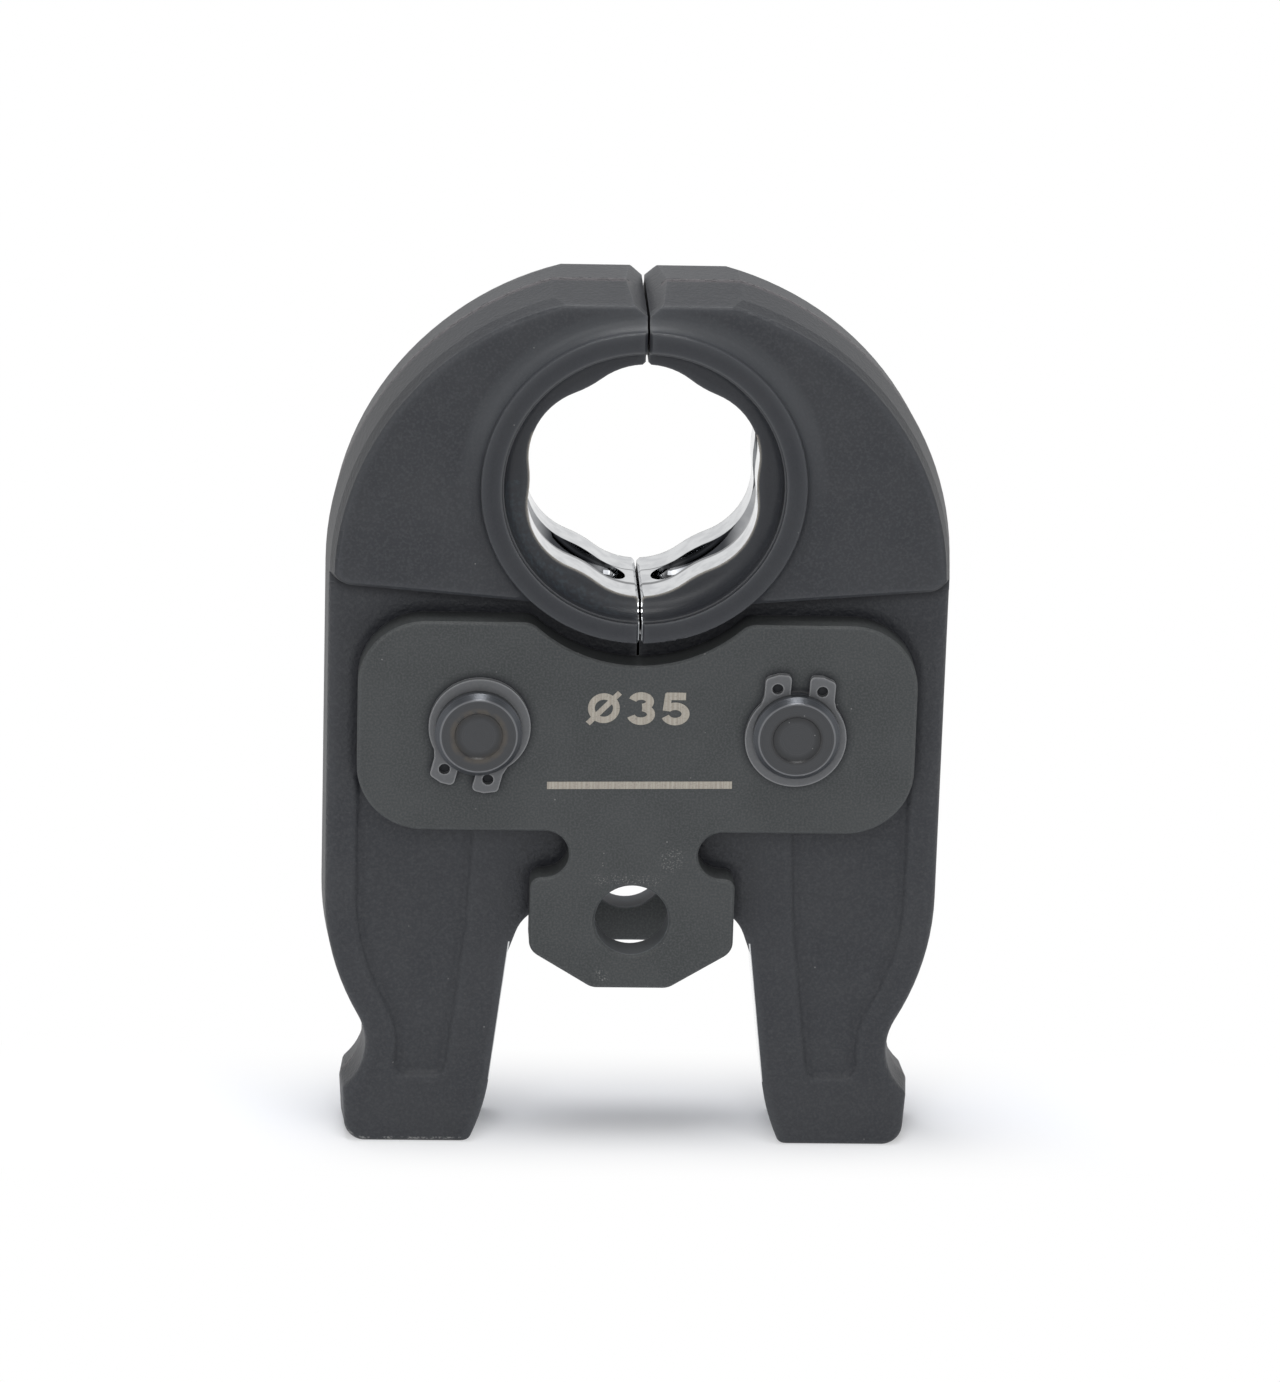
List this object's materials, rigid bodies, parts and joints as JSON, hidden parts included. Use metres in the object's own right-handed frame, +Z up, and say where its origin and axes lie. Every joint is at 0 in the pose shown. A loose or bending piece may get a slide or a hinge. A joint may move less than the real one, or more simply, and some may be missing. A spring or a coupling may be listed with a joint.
{
  "type": "press fitting tool jaw",
  "caption": "Forged press jaw with a lobed pressing contour, hinged on pins between side plates with a locking hole.",
  "frame": {"origin": "centre of the locking hole in the side plates' tab, at mid thickness", "axes": "+X across the jaws to the right as seen from the front, +Y through the thickness to the back, +Z up towards the jaw tips"},
  "size_m": [0.1004, 0.0324, 0.1462],
  "materials": {
    "side_plate": "dark phosphated steel plate with a fine grain",
    "forging": "dark coated forging with ground contact, cam and contour faces",
    "pin": "turned dark steel",
    "ring": "phosphated spring steel",
    "spring": "drawn spring wire"
  },
  "bodies": {
    "side_plates": {"front_side_plate": "side_plate", "back_side_plate": "side_plate", "left_pivot_pin": "pin", "right_pivot_pin": "pin", "front_left_retaining_ring": "ring", "front_right_retaining_ring": "ring", "back_left_retaining_ring": "ring", "back_right_retaining_ring": "ring", "closing_spring": "spring"},
    "left_jaw": {"left_jaw": "forging"},
    "right_jaw": {"right_jaw": "forging"}
  },
  "joints": [
    {"name": "left_jaw_pivot", "type": "hinge", "parent": "side_plates", "child": "left_jaw", "pos_m": [-0.02545, 0, 0.03285], "axis": [0, -1, 0], "range_deg": [0, 19], "stiffness_Nm_per_rad": 1.5, "springref_deg": -20.05, "deforming": ["closing_spring"]},
    {"name": "right_jaw_pivot", "type": "hinge", "parent": "side_plates", "child": "right_jaw", "pos_m": [0.02545, 0, 0.03285], "axis": [0, 1, 0], "range_deg": [0, 19], "stiffness_Nm_per_rad": 1.5, "springref_deg": -20.05, "deforming": ["closing_spring"]}
  ]
}
